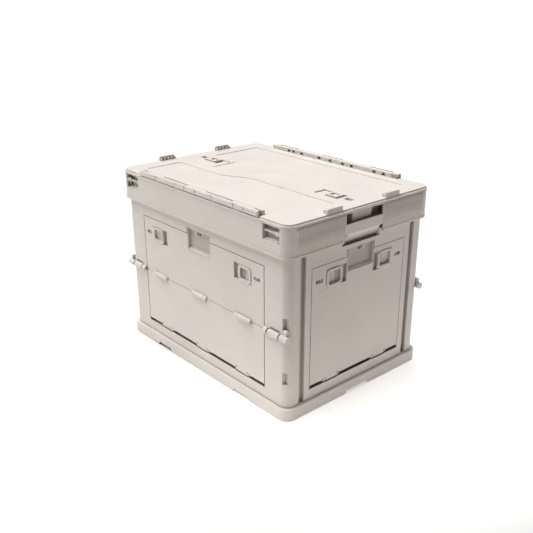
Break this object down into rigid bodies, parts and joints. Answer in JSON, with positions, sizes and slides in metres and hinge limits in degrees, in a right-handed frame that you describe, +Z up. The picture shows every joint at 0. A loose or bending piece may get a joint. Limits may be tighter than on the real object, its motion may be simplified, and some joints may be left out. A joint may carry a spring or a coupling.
{
  "type": "collapsible storage crate",
  "caption": "Lidded folding storage crate with drop-down doors on every side, split long walls, sliding latches and hand grips in the rim.",
  "frame": {"origin": "centre of the crate's footprint, on the floor", "axes": "+X along the long side, -Y out of the front door, +Z up"},
  "size_m": [0.53, 0.387, 0.394],
  "materials": {
    "shell": "satin moulded polypropylene, warm off-white",
    "trim": "satin moulded polypropylene, warm off-white",
    "steel": "plain drawn wire"
  },
  "bodies": {
    "crate": {"base_tray": "shell", "top_rim": "shell", "rear_hinge_rail": "trim", "rear_lid_pin": "steel", "front_frame_lower": "shell", "front_frame_upper": "shell", "front_fold_rod_a": "trim", "front_rim_pin_a": "trim", "front_base_pin_a": "steel", "front_fold_rod_b": "trim", "front_rim_pin_b": "trim", "front_base_pin_b": "steel", "rear_frame_lower": "shell", "rear_frame_upper": "shell", "rear_fold_rod_a": "trim", "rear_rim_pin_a": "trim", "rear_base_pin_a": "steel", "rear_fold_rod_b": "trim", "rear_rim_pin_b": "trim", "rear_base_pin_b": "steel", "right_wall_pin_a": "steel", "right_wall_pin_b": "steel", "left_wall_pin_a": "steel", "left_wall_pin_b": "steel"},
    "lid": {"lid_panel": "shell", "front_lid_pin": "steel"},
    "front_rail": {"front_hinge_rail": "trim"},
    "right_lid_bolt": {"right_lid_latch": "trim"},
    "left_lid_bolt": {"left_lid_latch": "trim"},
    "front_lower_leaf": {"front_door_lower": "shell"},
    "front_upper_leaf": {"front_door_upper": "shell", "front_door_catch": "trim"},
    "front_slider_a": {"front_latch_a": "trim"},
    "front_slider_b": {"front_latch_b": "trim"},
    "rear_lower_leaf": {"rear_door_lower": "shell"},
    "rear_upper_leaf": {"rear_door_upper": "shell", "rear_door_catch": "trim"},
    "rear_slider_a": {"rear_latch_a": "trim"},
    "rear_slider_b": {"rear_latch_b": "trim"},
    "right_wall": {"right_end_frame": "shell"},
    "right_door": {"right_end_door": "shell", "right_end_catch": "trim"},
    "right_slider_a": {"right_latch_a": "trim"},
    "right_slider_b": {"right_latch_b": "trim"},
    "left_wall": {"left_end_frame": "shell"},
    "left_door": {"left_end_door": "shell", "left_end_catch": "trim"},
    "left_slider_a": {"left_latch_a": "trim"},
    "left_slider_b": {"left_latch_b": "trim"}
  },
  "joints": [
    {"name": "lid_hinge", "type": "hinge", "parent": "crate", "child": "lid", "pos_m": [0, 0.187, 0.3905], "axis": [-1, 0, 0], "range_deg": [0, 100]},
    {"name": "front_rail_flap", "type": "hinge", "parent": "lid", "child": "front_rail", "pos_m": [0, -0.187, 0.3905], "axis": [-1, 0, 0], "range_deg": [0, 70]},
    {"name": "right_lid_bolt_slide", "type": "slide", "parent": "lid", "child": "right_lid_bolt", "axis": [1, 0, 0], "range_m": [-0.01, 0]},
    {"name": "left_lid_bolt_slide", "type": "slide", "parent": "lid", "child": "left_lid_bolt", "axis": [-1, 0, 0], "range_m": [-0.01, 0]},
    {"name": "front_door_hinge", "type": "hinge", "parent": "crate", "child": "front_lower_leaf", "pos_m": [0, -0.1812, 0.051], "axis": [-1, 0, 0], "range_deg": [-98, 0]},
    {"name": "front_leaf_hinge", "type": "hinge", "parent": "front_lower_leaf", "child": "front_upper_leaf", "pos_m": [0, -0.187, 0.17], "axis": [1, 0, 0], "range_deg": [0, 170]},
    {"name": "front_slide_a", "type": "slide", "parent": "front_upper_leaf", "child": "front_slider_a", "axis": [-1, 0, 0], "range_m": [-0.012, 0]},
    {"name": "front_slide_b", "type": "slide", "parent": "front_upper_leaf", "child": "front_slider_b", "axis": [1, 0, 0], "range_m": [-0.012, 0]},
    {"name": "rear_door_hinge", "type": "hinge", "parent": "crate", "child": "rear_lower_leaf", "pos_m": [0, 0.1812, 0.051], "axis": [1, 0, 0], "range_deg": [-98, 0]},
    {"name": "rear_leaf_hinge", "type": "hinge", "parent": "rear_lower_leaf", "child": "rear_upper_leaf", "pos_m": [0, 0.187, 0.17], "axis": [-1, 0, 0], "range_deg": [0, 170]},
    {"name": "rear_slide_a", "type": "slide", "parent": "rear_upper_leaf", "child": "rear_slider_a", "axis": [1, 0, 0], "range_m": [-0.012, 0]},
    {"name": "rear_slide_b", "type": "slide", "parent": "rear_upper_leaf", "child": "rear_slider_b", "axis": [-1, 0, 0], "range_m": [-0.012, 0]},
    {"name": "right_wall_swing", "type": "hinge", "parent": "crate", "child": "right_wall", "pos_m": [0.2505, 0, 0.334], "axis": [0, 1, 0], "range_deg": [0, 89]},
    {"name": "right_door_hinge", "type": "hinge", "parent": "right_wall", "child": "right_door", "pos_m": [0.2532, 0, 0.051], "axis": [0, -1, 0], "range_deg": [-98, 0]},
    {"name": "right_slide_a", "type": "slide", "parent": "right_door", "child": "right_slider_a", "axis": [0, -1, 0], "range_m": [-0.01, 0]},
    {"name": "right_slide_b", "type": "slide", "parent": "right_door", "child": "right_slider_b", "axis": [0, 1, 0], "range_m": [-0.01, 0]},
    {"name": "left_wall_swing", "type": "hinge", "parent": "crate", "child": "left_wall", "pos_m": [-0.2505, 0, 0.318], "axis": [0, -1, 0], "range_deg": [0, 89]},
    {"name": "left_door_hinge", "type": "hinge", "parent": "left_wall", "child": "left_door", "pos_m": [-0.2532, 0, 0.051], "axis": [0, 1, 0], "range_deg": [-98, 0]},
    {"name": "left_slide_a", "type": "slide", "parent": "left_door", "child": "left_slider_a", "axis": [0, 1, 0], "range_m": [-0.01, 0]},
    {"name": "left_slide_b", "type": "slide", "parent": "left_door", "child": "left_slider_b", "axis": [0, -1, 0], "range_m": [-0.01, 0]}
  ]
}
